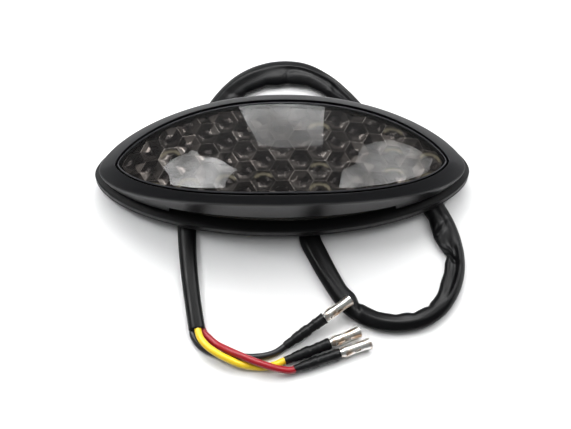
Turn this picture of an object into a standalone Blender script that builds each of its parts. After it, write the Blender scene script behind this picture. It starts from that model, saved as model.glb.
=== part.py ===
"""Cat-eye motorcycle tail light with a number-plate window and a sleeved three-wire lead.

Frame: metres, +Z up. The origin is the middle of the flat back face, which seats on the mudguard.
+Z is the way the lamp shines, X runs along the lamp, and -Y is the side of the number plate.
The lead lies on the surface that the loose lamp was put down on, a little under the back face.
"""

import math

import bmesh
import bpy
from mathutils import Matrix, Vector

# ---------------------------------------------------------------- driving dimensions
LAMP_LENGTH = 0.1420  # flange, tip to tip
LAMP_WIDTH = 0.0490  # flange, across the middle
ARCH = 4.1  # drop of every lens-side edge, per metre squared from the middle
CREST = 0.0279  # height of the bezel's outer edge at the middle
GAP = 0.0003  # clearance left between touching pieces
OUTLINE_POINTS = 56

# ---------------------------------------------------------------- plan outlines
# Each is (half length, half width, roundness, power); see outline().
HALF_LENGTH, HALF_WIDTH = LAMP_LENGTH / 2, LAMP_WIDTH / 2
CAT_EYE, ALMOND = (0.565, 2.0), (0.66, 2.3)
FLANGE = (HALF_LENGTH, HALF_WIDTH, *CAT_EYE)
FLANGE_EASED = (HALF_LENGTH - 0.0006, HALF_WIDTH - 0.0006, *CAT_EYE)
GASKET_SEAT = (HALF_LENGTH - 0.0021, HALF_WIDTH - 0.0044, *CAT_EYE)
GASKET_HOLE = (GASKET_SEAT[0] + GAP, GASKET_SEAT[1] + GAP, *CAT_EYE)
BEZEL_EDGE = (HALF_LENGTH - 0.0017, HALF_WIDTH - 0.0023, *CAT_EYE)
BEZEL_FOOT = (BEZEL_EDGE[0] - 0.0003, BEZEL_EDGE[1] - 0.0003, *CAT_EYE)
BEZEL_INSIDE = (BEZEL_EDGE[0] - 0.0022, BEZEL_EDGE[1] - 0.0022, *CAT_EYE)
TUB_OUTSIDE = (0.0626, 0.0192, *CAT_EYE)
TUB_INSIDE = (0.0608, 0.0174, *CAT_EYE)
OPENING = (0.0626, 0.0189, *ALMOND)
LENS_EDGE = (0.0618, 0.0181, *ALMOND)
LENS_BEVEL = (0.0613, 0.0177, *ALMOND)
LENS_CORE = (0.0597, 0.0162, *ALMOND)
LENS_FLANGE = (0.0629, 0.0192, *ALMOND)
SEAL_INSIDE = (0.0606, 0.0172, *ALMOND)
OPTIC = (0.0585, 0.0156, *ALMOND)
REFLECTOR = (0.0568, 0.0148, *ALMOND)
BOARD = (0.0430, 0.0145, *CAT_EYE)

# ---------------------------------------------------------------- heights
GASKET_TOP = 0.0012
FLANGE_TOP = 0.0050
SKIRT_FOOT = 0.0080
FLOOR_TOP = 0.0015
OPENING_RISE = 0.0025  # opening edge above the bezel's outer edge
LIP_DEPTH = 0.0032
LENS_STEP = 0.0038  # lens flange below the opening edge
LENS_CROWN = 0.0015
LENS_WALL = 0.0020
SEAL_STEP = 0.0056
TUB_STEP = 0.0071
OPTIC_STEP, OPTIC_THICKNESS = 0.0053, 0.0022
REFLECTOR_STEP, REFLECTOR_THICKNESS = 0.0081, 0.0012
BOARD_BOTTOM, BOARD_THICKNESS = 0.0108, 0.0016
BOARD_TOP = BOARD_BOTTOM + BOARD_THICKNESS

# ---------------------------------------------------------------- number-plate window
SLOT_HALF = 0.0425
SLOT_TOP_MIDDLE, SLOT_TOP_END = 0.0146, 0.0121
WINDOW_HALF = 0.0400
WINDOW_BOTTOM, WINDOW_TOP = 0.0062, 0.0115
WINDOW_PROUD, WINDOW_DEEP = 0.0010, 0.0015

# ---------------------------------------------------------------- fixings
BEZEL_SCREW_X = 0.0653
BOARD_POST_X = 0.0388
INSERT_X = 0.0300
INSERT_RADIUS, INSERT_BORE, INSERT_TOP = 0.0035, 0.0021, 0.0080

# ---------------------------------------------------------------- lead and its exit
POCKET_X, POCKET_HALF = 0.0130, 0.0075
POCKET_BACK, POCKET_STEP, POCKET_FRONT = 0.0070, -0.0155, -0.0206
POCKET_TOP, POCKET_FRONT_TOP, POCKET_WALL = 0.0090, 0.0034, 0.0014
GROMMET_HEIGHT, GROMMET_HOLE = 0.0054, 0.0032
GROMMET_MOUTH = -0.0010
SLEEVE_RADIUS = 0.0023
WIRE_RADIUS = 0.0012
INNER_LEAD_RADIUS = 0.0009
SLEEVE_LIE = -0.00275  # height of the sleeve's middle where it lies
WIRE_LIE = -0.0040

SLEEVE_ROUTE = [
    (0.0130, -0.0020, GROMMET_HEIGHT),
    (0.0128, -0.0060, 0.0047),
    (0.0119, -0.0105, 0.0020),
    (0.0109, -0.0160, -0.0014),
    (0.0102, -0.0210, SLEEVE_LIE),
    (0.0104, -0.0250, SLEEVE_LIE),
    (0.0128, -0.0305, SLEEVE_LIE),
    (0.0176, -0.0400, SLEEVE_LIE),
    (0.0238, -0.0498, SLEEVE_LIE),
    (0.0315, -0.0555, SLEEVE_LIE),
    (0.0405, -0.0579, SLEEVE_LIE),
    (0.0510, -0.0567, SLEEVE_LIE),
    (0.0585, -0.0516, SLEEVE_LIE),
    (0.0632, -0.0433, SLEEVE_LIE),
    (0.0646, -0.0335, SLEEVE_LIE),
    (0.0620, -0.0220, SLEEVE_LIE),
    (0.0562, -0.0102, SLEEVE_LIE),
    (0.0488, 0.0016, SLEEVE_LIE),
    (0.0406, 0.0132, SLEEVE_LIE),
    (0.0318, 0.0241, SLEEVE_LIE),
    (0.0239, 0.0332, SLEEVE_LIE),
    (0.0160, 0.0402, SLEEVE_LIE),
    (0.0070, 0.0445, SLEEVE_LIE),
    (-0.0040, 0.0444, SLEEVE_LIE),
    (-0.0145, 0.0399, SLEEVE_LIE),
    (-0.0235, 0.0310, SLEEVE_LIE),
    (-0.0300, 0.0195, SLEEVE_LIE),
    (-0.0343, 0.0060, SLEEVE_LIE),
    (-0.0361, -0.0080, SLEEVE_LIE),
    (-0.0363, -0.0210, SLEEVE_LIE),
    (-0.0357, -0.0330, SLEEVE_LIE),
    (-0.0343, -0.0460, SLEEVE_LIE),
    (-0.0323, -0.0596, SLEEVE_LIE),
]
WIRE_ROUTES = {
    "black": [
        (-0.0339, -0.0603, -0.00395),
        (-0.0331, -0.0630, WIRE_LIE),
        (-0.0306, -0.0662, WIRE_LIE),
        (-0.0265, -0.0685, WIRE_LIE),
        (-0.0215, -0.0696, WIRE_LIE),
        (-0.0160, -0.0701, WIRE_LIE),
        (-0.0115, -0.0703, WIRE_LIE),
        (-0.0070, -0.0699, WIRE_LIE),
        (-0.0030, -0.0686, WIRE_LIE),
        (0.0000, -0.0667, -0.0036),
    ],
    "yellow": [
        (-0.0319, -0.0603, -0.0020),
        (-0.0310, -0.0633, -0.0016),
        (-0.0286, -0.0666, -0.0011),
        (-0.0250, -0.0694, -0.0009),
        (-0.0208, -0.0717, -0.0012),
        (-0.0165, -0.0733, -0.0024),
        (-0.0120, -0.0740, -0.0036),
        (-0.0074, -0.0742, WIRE_LIE),
        (-0.0034, -0.0734, -0.0039),
        (0.0000, -0.0721, -0.0032),
    ],
    "red": [
        (-0.0299, -0.0603, -0.00395),
        (-0.0280, -0.0626, WIRE_LIE),
        (-0.0250, -0.0653, -0.0036),
        (-0.0210, -0.0679, -0.0020),
        (-0.0170, -0.0701, -0.0010),
        (-0.0130, -0.0720, -0.0007),
        (-0.0085, -0.0738, -0.0006),
        (-0.0045, -0.0751, -0.0009),
        (-0.0010, -0.0758, -0.0017),
        (0.0025, -0.0759, -0.0026),
    ],
}
SHRINK_LENGTH, SHRINK_RADIUS, SHRINK_BORE = 0.0175, 0.0020, 0.0016
BARREL_LENGTH, BARREL_RADIUS, BARREL_BORE = 0.0115, 0.0022, 0.0018
CRIMP_RADIUS, CRIMP_LENGTH = 0.0013, 0.0080
# Where each heat-shrink starts, and where its terminal ends.
TERMINALS = {
    "black": ((0.0009, -0.0661, -0.0030), (0.0243, -0.0507, 0.0024)),
    "yellow": ((0.0009, -0.0719, -0.0030), (0.0273, -0.0615, -0.0030)),
    "red": ((0.0044, -0.0752, -0.0029), (0.0317, -0.0658, -0.0029)),
}

# ---------------------------------------------------------------- lamp electrics
LED_COLUMNS = [(x, 0.0) for x in (-0.024, -0.012, 0.0, 0.012, 0.024)]
LED_COLUMNS += [(x, y) for y in (-0.008, 0.008) for x in (-0.018, -0.006, 0.006, 0.018)]
WHITE_LEDS = [(-0.028, -0.0085), (-0.008, -0.0120), (0.028, -0.0085)]
RESISTORS = [(-0.016, 0.0085), (-0.016, 0.0040), (-0.016, -0.0010)]
DIODE = (-0.005, 0.0085)

MATERIALS = {
    "satin_black": ((0.012, 0.012, 0.014, 1), 0.38, 0.0),
    "black_rubber": ((0.010, 0.010, 0.011, 1), 0.62, 0.0),
    "soft_black": ((0.014, 0.014, 0.017, 1), 0.42, 0.0),
    "smoked_clear": ((0.060, 0.055, 0.052, 1), 0.05, 0.0),
    "clear": ((0.50, 0.49, 0.47, 1), 0.06, 0.0),
    "metallised": ((0.62, 0.60, 0.57, 1), 0.12, 1.0),
    "board_green": ((0.02, 0.10, 0.05, 1), 0.40, 0.0),
    "led_red": ((0.45, 0.02, 0.02, 1), 0.15, 0.0),
    "led_white": ((0.75, 0.72, 0.45, 1), 0.25, 0.0),
    "component": ((0.35, 0.26, 0.16, 1), 0.45, 0.0),
    "zinc": ((0.58, 0.58, 0.57, 1), 0.28, 1.0),
    "brass": ((0.62, 0.45, 0.18, 1), 0.30, 1.0),
    "tinned": ((0.78, 0.77, 0.75, 1), 0.16, 1.0),
    "wire_black": ((0.012, 0.012, 0.013, 1), 0.35, 0.0),
    "wire_yellow": ((0.85, 0.62, 0.02, 1), 0.35, 0.0),
    "wire_red": ((0.68, 0.02, 0.02, 1), 0.35, 0.0),
}


# ---------------------------------------------------------------- scene helpers
def clear_scene():
    for thing in list(bpy.data.objects):
        bpy.data.objects.remove(thing, do_unlink=True)
    for made in list(bpy.data.collections):
        bpy.data.collections.remove(made)


def new_collection(name):
    made = bpy.data.collections.new(name)
    bpy.context.scene.collection.children.link(made)
    return made


def material(name):
    """The Principled material of this name, made once."""
    if name in bpy.data.materials:
        return bpy.data.materials[name]
    colour, roughness, metallic = MATERIALS[name]
    made = bpy.data.materials.new(name)
    made.use_nodes = True
    shader = made.node_tree.nodes["Principled BSDF"]
    shader.inputs["Base Color"].default_value = colour
    shader.inputs["Roughness"].default_value = roughness
    shader.inputs["Metallic"].default_value = metallic
    made.diffuse_color = colour
    return made


def place(data, name, finish, group):
    """An object for this mesh or curve, in its collection and with its finish."""
    made = bpy.data.objects.new(name, data)
    group.objects.link(made)
    if finish:
        data.materials.append(material(finish))
    return made


def as_cutter(made):
    made.hide_render = True
    made.display_type = "WIRE"
    return made


def cut(target, tool, operation="DIFFERENCE"):
    """Adds a live Boolean; the tool stays in the cutters' collection."""
    step = target.modifiers.new(f"{operation.lower()} {tool.name}", "BOOLEAN")
    step.operation = operation
    step.object = tool
    step.solver = "EXACT"


# ---------------------------------------------------------------- shape helpers
def half_width(x, plan):
    """Half the width of a plan outline at x: b (1 - |x/a|^power)^roundness."""
    a, b, roundness, power = plan
    return b * max(0.0, 1 - abs(x / a) ** power) ** roundness


def outline(plan, points=OUTLINE_POINTS):
    """Points round a cat-eye outline, anticlockwise, closer together at the tips."""
    found = []
    for i in range(points):
        turn = 2 * math.pi * i / points
        x = plan[0] * math.cos(turn)
        side = 1 if math.sin(turn) >= 0 else -1
        found.append((x, side * half_width(x, plan)))
    return found


def flat(height):
    return lambda x: height


def arched(below_opening):
    """Height of an arched surface that lies this far under the opening's edge."""
    return lambda x: CREST + OPENING_RISE - below_opening - ARCH * x * x


def under_face(x):
    """Height of the bezel's inner shoulder, which never drops below the skirt's foot."""
    return max(arched(LIP_DEPTH + 0.0012)(x), SKIRT_FOOT + 0.0004)


def ring(plan, height):
    return [Vector((x, y, height(x))) for x, y in outline(plan)]


def crown(plan, share, top, rise):
    """A ring of the domed cap over an outline: rise (1 - share squared) over its arch."""
    lifted = rise * (1 - share * share)
    return [
        Vector((x * share, y * share, top(x * share) + lifted))
        for x, y in outline(plan)
    ]


def loft(name, rings, finish, group, closed=False, peaks=None):
    """Joins rings of equal count in order, from the outside of the bottom upwards.

    closed joins the last ring back to the first, as a tube bent round the outline. Otherwise
    the first and last rings are filled, with a fan to each point of peaks where that is given.
    """
    mesh = bpy.data.meshes.new(name)
    build = bmesh.new()
    loops = [[build.verts.new(p) for p in one] for one in rings]
    pairs = list(zip(loops, loops[1:] + loops[:1])) if closed else list(zip(loops, loops[1:]))
    count = len(loops[0])
    for low, high in pairs:
        for i in range(count):
            j = (i + 1) % count
            build.faces.new((low[i], low[j], high[j], high[i]))
    if not closed:
        for loop, peak, turned in ((loops[0], 0, True), (loops[-1], 1, False)):
            if peaks and peaks[peak] is not None:
                tip = build.verts.new(peaks[peak])
                for i in range(count):
                    side = (loop[i], loop[(i + 1) % count], tip)
                    build.faces.new(side[::-1] if turned else side)
            else:
                build.faces.new(loop[::-1] if turned else loop)
    build.to_mesh(mesh)
    build.free()
    return place(mesh, name, finish, group)


def prism(name, outline_points, start, end, finish, group, upright=False):
    """A flat outline pushed from start to end: along Z, or along Y for an upright outline."""
    mesh = bpy.data.meshes.new(name)
    build = bmesh.new()
    if upright:
        ends = [[(a, t, b) for a, b in outline_points] for t in (start, end)]
    else:
        ends = [[(a, b, t) for a, b in outline_points] for t in (start, end)]
    low, high = ([build.verts.new(p) for p in one] for one in ends)
    count = len(low)
    for i in range(count):
        j = (i + 1) % count
        build.faces.new((low[i], low[j], high[j], high[i]))
    build.faces.new(low[::-1])
    build.faces.new(high)
    bmesh.ops.recalc_face_normals(build, faces=build.faces[:])
    build.to_mesh(mesh)
    build.free()
    return place(mesh, name, finish, group)


def block(name, low, high, finish, group):
    """A box between two corners."""
    mesh = bpy.data.meshes.new(name)
    build = bmesh.new()
    low, high = Vector(low), Vector(high)
    bmesh.ops.create_cube(build, size=1.0)
    bmesh.ops.scale(build, vec=high - low, verts=build.verts)
    bmesh.ops.translate(build, vec=(low + high) / 2, verts=build.verts)
    build.to_mesh(mesh)
    build.free()
    return place(mesh, name, finish, group)


def rod(name, radius, bottom, top, sides, finish, group):
    """A cylinder between two points."""
    mesh = bpy.data.meshes.new(name)
    build = bmesh.new()
    bottom, top = Vector(bottom), Vector(top)
    run = top - bottom
    turn = run.to_track_quat("Z", "Y").to_matrix().to_4x4()
    bmesh.ops.create_cone(
        build,
        cap_ends=True,
        segments=sides,
        radius1=radius,
        radius2=radius,
        depth=run.length,
        matrix=Matrix.Translation((bottom + top) / 2) @ turn,
    )
    build.to_mesh(mesh)
    build.free()
    return place(mesh, name, finish, group)


def turned(name, profile, sides, finish, group, looped=False):
    """A lathe-turned piece: (radius, height) points from the top down its outer side."""
    mesh = bpy.data.meshes.new(name)
    edges = [(i, i + 1) for i in range(len(profile) - 1)]
    if looped:
        edges.append((len(profile) - 1, 0))
    mesh.from_pydata([(r, 0, z) for r, z in profile], edges, [])
    made = place(mesh, name, finish, group)
    spin = made.modifiers.new("turn", "SCREW")
    spin.steps = spin.render_steps = sides
    spin.use_merge_vertices = True
    spin.merge_threshold = 0.00001
    return made


def aim(made, start, end):
    """Stands a turned piece at start, with its +Z along the way to end."""
    start, end = Vector(start), Vector(end)
    made.location = start
    made.rotation_mode = "QUATERNION"
    made.rotation_quaternion = (end - start).to_track_quat("Z", "Y")


def smooth_route(points, spacing):
    """Points about spacing apart on the Catmull-Rom curve through the route's own points."""
    p = [Vector(q) for q in points]
    p = [2 * p[0] - p[1]] + p + [2 * p[-1] - p[-2]]
    found = []
    for a, b, c, d in zip(p, p[1:], p[2:], p[3:]):
        steps = max(1, round((c - b).length / spacing))
        for i in range(steps):
            t = i / steps
            found.append(
                (2 * b + (c - a) * t + (2 * a - 5 * b + 4 * c - d) * t**2
                 + (3 * b - a - 3 * c + d) * t**3) / 2
            )
    return found + [p[-2]]


def cord(name, route, radius, spacing, finish, group):
    """A plain round cord: a bevelled poly curve through its smooth route."""
    points = smooth_route(route, spacing)
    curve = bpy.data.curves.new(name, "CURVE")
    curve.dimensions = "3D"
    curve.bevel_depth = radius
    curve.bevel_resolution = 2
    curve.use_fill_caps = True
    curve.resolution_u = 1
    curve.render_resolution_u = 0
    spline = curve.splines.new("POLY")
    spline.points.add(len(points) - 1)
    for spot, at in zip(spline.points, points):
        spot.co = (*at, 1)
    return place(curve, name, finish, group)


# ---------------------------------------------------------------- casing
def make_housing(parts, tools):
    """Tub with a mounting flange, a gasket seat under it and a pocket where the lead turns."""
    tub_top = arched(TUB_STEP)
    housing = loft(
        "base_housing",
        [
            ring(GASKET_SEAT, flat(0)),
            ring(GASKET_SEAT, flat(GASKET_TOP + GAP)),
            ring(FLANGE, flat(GASKET_TOP + GAP)),
            ring(FLANGE, flat(FLANGE_TOP - 0.0006)),
            ring(FLANGE_EASED, flat(FLANGE_TOP)),
            ring(TUB_OUTSIDE, flat(FLANGE_TOP)),
            ring(TUB_OUTSIDE, tub_top),
            ring(TUB_INSIDE, tub_top),
            ring(TUB_INSIDE, flat(FLOOR_TOP)),
        ],
        "satin_black",
        parts,
    )
    wall = POCKET_WALL
    roof = block(
        "pocket_roof",
        (POCKET_X - POCKET_HALF - wall, POCKET_STEP - wall, FLOOR_TOP - 0.0005),
        (POCKET_X + POCKET_HALF + wall, POCKET_BACK + wall, POCKET_TOP + wall),
        None,
        tools,
    )
    cut(housing, as_cutter(roof), "UNION")
    for side, name in ((-1, "left"), (1, "right")):
        boss = rod(
            f"insert_boss_{name}", INSERT_RADIUS + 0.0017,
            (side * INSERT_X, 0, FLOOR_TOP - 0.0005), (side * INSERT_X, 0, INSERT_TOP + 0.001),
            20, None, tools,
        )
        cut(housing, as_cutter(boss), "UNION")
        post = rod(
            f"board_post_{name}", 0.0026,
            (side * BOARD_POST_X, 0, FLOOR_TOP - 0.0005),
            (side * BOARD_POST_X, 0, BOARD_BOTTOM - GAP),
            16, None, tools,
        )
        cut(housing, as_cutter(post), "UNION")
        insert_hole = rod(
            f"insert_hole_{name}", INSERT_RADIUS + GAP,
            (side * INSERT_X, 0, -0.001), (side * INSERT_X, 0, INSERT_TOP + GAP),
            20, None, tools,
        )
        cut(housing, as_cutter(insert_hole))
        pilot = rod(
            f"post_pilot_{name}", 0.00155,
            (side * BOARD_POST_X, 0, 0.0040), (side * BOARD_POST_X, 0, 0.0130),
            12, None, tools,
        )
        cut(housing, as_cutter(pilot))
        screw_way = rod(
            f"bezel_screw_way_{name}", 0.0017,
            (side * BEZEL_SCREW_X, 0, -0.001), (side * BEZEL_SCREW_X, 0, 0.0070),
            14, None, tools,
        )
        cut(housing, as_cutter(screw_way))
        head_way = rod(
            f"bezel_head_way_{name}", 0.0027,
            (side * BEZEL_SCREW_X, 0, -0.001), (side * BEZEL_SCREW_X, 0, 0.0024),
            16, None, tools,
        )
        cut(housing, as_cutter(head_way))
    low, high = POCKET_X - POCKET_HALF, POCKET_X + POCKET_HALF
    pocket = block("pocket_room", (low, POCKET_STEP, -0.001), (high, POCKET_BACK, POCKET_TOP),
                   None, tools)
    cut(housing, as_cutter(pocket))
    front = block("pocket_mouth", (low, POCKET_FRONT, -0.001),
                  (high, POCKET_STEP + 0.0004, POCKET_FRONT_TOP), None, tools)
    cut(housing, as_cutter(front))
    hole = rod("grommet_hole", GROMMET_HOLE, (POCKET_X, POCKET_BACK - 0.002, GROMMET_HEIGHT),
               (POCKET_X, POCKET_BACK + POCKET_WALL + 0.001, GROMMET_HEIGHT), 16, None, tools)
    cut(housing, as_cutter(hole))
    opening = prism("window_opening", window_outline(GAP, 0.004, 0.0020), WINDOW_BOTTOM - GAP,
                    WINDOW_TOP + GAP, None, tools)
    cut(housing, as_cutter(opening))
    return housing


def window_outline(longer, proud, deep):
    """Plan of a strip along the tub's front wall, this far outside and inside its face."""
    reach = WINDOW_HALF + longer
    steps = 14
    xs = [-reach + 2 * reach * i / steps for i in range(steps + 1)]
    outer = [(x, -half_width(x, TUB_OUTSIDE) - proud) for x in xs]
    inner = [(x, -half_width(x, TUB_OUTSIDE) + deep) for x in reversed(xs)]
    return outer + inner


def make_gasket(parts):
    return loft(
        "base_gasket",
        [
            ring(GASKET_HOLE, flat(0)),
            ring(FLANGE, flat(0)),
            ring(FLANGE, flat(GASKET_TOP)),
            ring(GASKET_HOLE, flat(GASKET_TOP)),
        ],
        "black_rubber",
        parts,
        closed=True,
    )


def slot_outline():
    """Front view of the skirt's cut-out: its top edge follows a shallow arch."""
    steps = 12
    top = []
    for i in range(steps + 1):
        x = SLOT_HALF - 2 * SLOT_HALF * i / steps
        fall = (SLOT_TOP_MIDDLE - SLOT_TOP_END) * (x / SLOT_HALF) ** 2
        top.append((x, SLOT_TOP_MIDDLE - fall))
    return [(-SLOT_HALF, 0.004), (SLOT_HALF, 0.004)] + top


def make_bezel(parts, tools):
    """Arched frame: skirt, sloping face and the lip that holds the lens down."""
    edge = arched(OPENING_RISE)
    bezel = loft(
        "bezel",
        [
            ring(BEZEL_FOOT, flat(SKIRT_FOOT)),
            ring(BEZEL_EDGE, edge),
            ring(OPENING, arched(0)),
            ring(OPENING, arched(LIP_DEPTH)),
            ring(BEZEL_INSIDE, under_face),
            ring(BEZEL_INSIDE, flat(SKIRT_FOOT)),
        ],
        "satin_black",
        parts,
        closed=True,
    )
    for side, name in ((-1, "left"), (1, "right")):
        boss = rod(
            f"bezel_boss_{name}", 0.0023,
            (side * BEZEL_SCREW_X, 0, FLANGE_TOP + GAP), (side * BEZEL_SCREW_X, 0, 0.0098),
            14, None, tools,
        )
        cut(bezel, as_cutter(boss), "UNION")
        pilot = rod(
            f"bezel_pilot_{name}", 0.00145,
            (side * BEZEL_SCREW_X, 0, 0.0040), (side * BEZEL_SCREW_X, 0, 0.0088),
            12, None, tools,
        )
        cut(bezel, as_cutter(pilot))
    slot = prism("plate_slot", slot_outline(), -0.030, -0.008, None, tools, upright=True)
    cut(bezel, as_cutter(slot))
    return bezel


def make_lens(parts):
    """Smoked cap: a flange under the bezel's lip, a short wall and a shallow domed top."""
    top, under = arched(0.0001), arched(0.0001 + LENS_WALL)
    foot = arched(LENS_STEP + 0.0015)
    shares = (0.8, 0.55, 0.28)
    inner = [crown(LENS_CORE, s, under, LENS_CROWN) for s in reversed(shares)]
    outer = [crown(LENS_BEVEL, s, top, LENS_CROWN) for s in shares]
    rings = inner + [
        ring(LENS_CORE, arched(LENS_WALL + 0.0005)),
        ring(LENS_CORE, foot),
        ring(LENS_FLANGE, foot),
        ring(LENS_FLANGE, arched(LENS_STEP)),
        ring(LENS_EDGE, arched(LENS_STEP)),
        ring(LENS_EDGE, arched(0.0006)),
        ring(LENS_BEVEL, top),
    ] + outer
    peaks = (Vector((0, 0, under(0) + LENS_CROWN)), Vector((0, 0, top(0) + LENS_CROWN)))
    return loft("lens", rings, "smoked_clear", parts, peaks=peaks)


def make_seal(parts):
    step = SEAL_STEP
    return loft(
        "lens_seal",
        [
            ring(SEAL_INSIDE, arched(step + 0.0012)),
            ring(TUB_OUTSIDE, arched(step + 0.0012)),
            ring(TUB_OUTSIDE, arched(step)),
            ring(SEAL_INSIDE, arched(step)),
        ],
        "black_rubber",
        parts,
        closed=True,
    )


def arched_plate(name, plan, step, thickness, finish, group):
    """A plate of even thickness that follows the arch."""
    top, under = arched(step), arched(step + thickness)
    shares = (1.0, 0.7, 0.36)
    low = [crown(plan, s, under, 0) for s in reversed(shares)]
    high = [crown(plan, s, top, 0) for s in shares]
    peaks = (Vector((0, 0, under(0))), Vector((0, 0, top(0))))
    return loft(name, low + high, finish, group, peaks=peaks)


# ---------------------------------------------------------------- lamp insides
def make_optics(parts, tools):
    arched_plate("honeycomb_optic", OPTIC, OPTIC_STEP, OPTIC_THICKNESS, "clear", parts)
    reflector = arched_plate("reflector", REFLECTOR, REFLECTOR_STEP, REFLECTOR_THICKNESS,
                             "metallised", parts)
    for i, (x, y) in enumerate(LED_COLUMNS, 1):
        hole = rod(f"reflector_hole_{i:02d}", 0.0031, (x, y, 0.010), (x, y, 0.026), 12, None, tools)
        cut(reflector, as_cutter(hole))


def make_board(parts, tools):
    board = loft("led_board", [ring(BOARD, flat(BOARD_BOTTOM)), ring(BOARD, flat(BOARD_TOP))],
                 "board_green", parts)
    for side, name in ((-1, "left"), (1, "right")):
        x = side * BOARD_POST_X
        hole = rod(f"board_hole_{name}", 0.00155, (x, 0, 0.008), (x, 0, 0.014), 12, None, tools)
        cut(board, as_cutter(hole))
        screw = turned(
            f"board_screw_{name}",
            [(0, 0.0016), (0.0018, 0.0016), (0.0023, 0.0010), (0.0023, 0),
             (0.00125, 0), (0.00125, -0.0062), (0, -0.0070)],
            12, "zinc", parts,
        )
        screw.location = (x, 0, BOARD_TOP + GAP)
    seat = BOARD_TOP + GAP
    dome = [(0.0025 * math.sin(a), 0.0043 + 0.0025 * math.cos(a))
            for a in (0, math.pi / 6, math.pi / 3, math.pi / 2)]
    led_profile = dome + [(0.0025, 0.0010), (0.0029, 0.0010), (0.0029, 0), (0, 0)]
    for i, (x, y) in enumerate(LED_COLUMNS, 1):
        led = turned(f"led_red_{i:02d}", led_profile, 12, "led_red", parts)
        led.location = (x, y, seat)
    under = BOARD_BOTTOM - GAP
    for i, (x, y) in enumerate(WHITE_LEDS, 1):
        block(f"led_white_{i}", (x - 0.00175, y - 0.0014, under - 0.0019),
              (x + 0.00175, y + 0.0014, under), "led_white", parts)
    for i, (x, y) in enumerate(RESISTORS, 1):
        rod(f"resistor_{i}", 0.0011, (x - 0.0032, y, under - 0.0011),
            (x + 0.0032, y, under - 0.0011), 10, "component", parts)
    x, y = DIODE
    rod("diode", 0.0013, (x - 0.0026, y, under - 0.0013), (x + 0.0026, y, under - 0.0013),
        10, "wire_black", parts)


def make_window(parts):
    return prism("plate_light_window", window_outline(0, WINDOW_PROUD, WINDOW_DEEP),
                 WINDOW_BOTTOM, WINDOW_TOP, "clear", parts)


def make_fixings(parts):
    for side, name in ((-1, "left"), (1, "right")):
        insert = turned(
            f"mounting_insert_{name}",
            [(INSERT_RADIUS, INSERT_TOP), (INSERT_RADIUS, 0.0002),
             (INSERT_BORE, 0.0002), (INSERT_BORE, INSERT_TOP)],
            20, "brass", parts, looped=True,
        )
        insert.location = (side * INSERT_X, 0, 0)
        screw = turned(
            f"bezel_screw_{name}",
            [(0, 0.0070), (0.0009, 0.0062), (0.00115, 0.0055), (0.00115, 0.0018),
             (0.0023, 0.0018), (0.0023, 0.0006), (0.0018, 0), (0, 0)],
            12, "zinc", parts,
        )
        screw.location = (side * BEZEL_SCREW_X, 0, 0.0003)


# ---------------------------------------------------------------- lead
def make_exit(parts):
    """Moulded grommet: a lip inside the tub, a neck in the wall and a boot that tapers."""
    inner = POCKET_BACK + POCKET_WALL + GAP
    length = inner + 0.0013 - GROMMET_MOUTH
    boot = POCKET_BACK - GAP - GROMMET_MOUTH
    grommet = turned(
        "cable_grommet",
        [(0, length), (0.0036, length), (0.0036, length - 0.0013), (0.0029, length - 0.0013),
         (0.0029, boot), (0.0036, boot), (0.0034, boot * 0.55), (0.0028, 0), (0, 0)],
        16, "black_rubber", parts,
    )
    grommet.location = (POCKET_X, GROMMET_MOUTH, GROMMET_HEIGHT)
    grommet.rotation_euler = (-math.pi / 2, 0, 0)
    start_y = inner + 0.0013 + GAP
    for colour, step in (("black", -1), ("yellow", 0), ("red", 1)):
        x = POCKET_X + step * 0.0022
        route = [
            (x, start_y, GROMMET_HEIGHT),
            (x + step * 0.0003, start_y + 0.0015, GROMMET_HEIGHT + 0.0003),
            (x + step * 0.0008, start_y + 0.0024, GROMMET_HEIGHT + 0.0016),
            (x + step * 0.0010, start_y + 0.0026, GROMMET_HEIGHT + 0.0033),
            (x + step * 0.0010, start_y + 0.0026, BOARD_BOTTOM - GAP),
        ]
        cord(f"inner_lead_{colour}", route, INNER_LEAD_RADIUS, 0.0012, f"wire_{colour}", parts)


def make_lead(parts):
    cord("cable_sleeve", SLEEVE_ROUTE, SLEEVE_RADIUS, 0.0055, "soft_black", parts)
    for colour, route in WIRE_ROUTES.items():
        start, tip = (Vector(p) for p in TERMINALS[colour])
        along = (tip - start).normalized()
        inside = [start + along * d for d in (0.0015, 0.0050)]
        cord(f"wire_{colour}", route + [tuple(p) for p in inside], WIRE_RADIUS, 0.0028,
             f"wire_{colour}", parts)
        shrink = turned(
            f"heat_shrink_{colour}",
            [(SHRINK_RADIUS, SHRINK_LENGTH), (SHRINK_RADIUS, 0),
             (SHRINK_BORE, 0), (SHRINK_BORE, SHRINK_LENGTH)],
            12, "soft_black", parts, looped=True,
        )
        aim(shrink, start, tip)
        mouth = SHRINK_LENGTH + GAP + BARREL_LENGTH
        terminal = turned(
            f"bullet_terminal_{colour}",
            [(BARREL_BORE, mouth), (BARREL_RADIUS, mouth), (BARREL_RADIUS, mouth - BARREL_LENGTH),
             (CRIMP_RADIUS, mouth - BARREL_LENGTH),
             (CRIMP_RADIUS, mouth - BARREL_LENGTH - CRIMP_LENGTH),
             (0, mouth - BARREL_LENGTH - CRIMP_LENGTH), (0, mouth - 0.0090),
             (BARREL_BORE, mouth - 0.0090)],
            12, "tinned", parts, looped=True,
        )
        aim(terminal, start, tip)


def main():
    clear_scene()
    parts = new_collection("tail_light")
    tools = new_collection("cutters")
    make_housing(parts, tools)
    make_gasket(parts)
    make_bezel(parts, tools)
    make_lens(parts)
    make_seal(parts)
    make_optics(parts, tools)
    make_board(parts, tools)
    make_window(parts)
    make_fixings(parts)
    make_exit(parts)
    make_lead(parts)


main()
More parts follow.
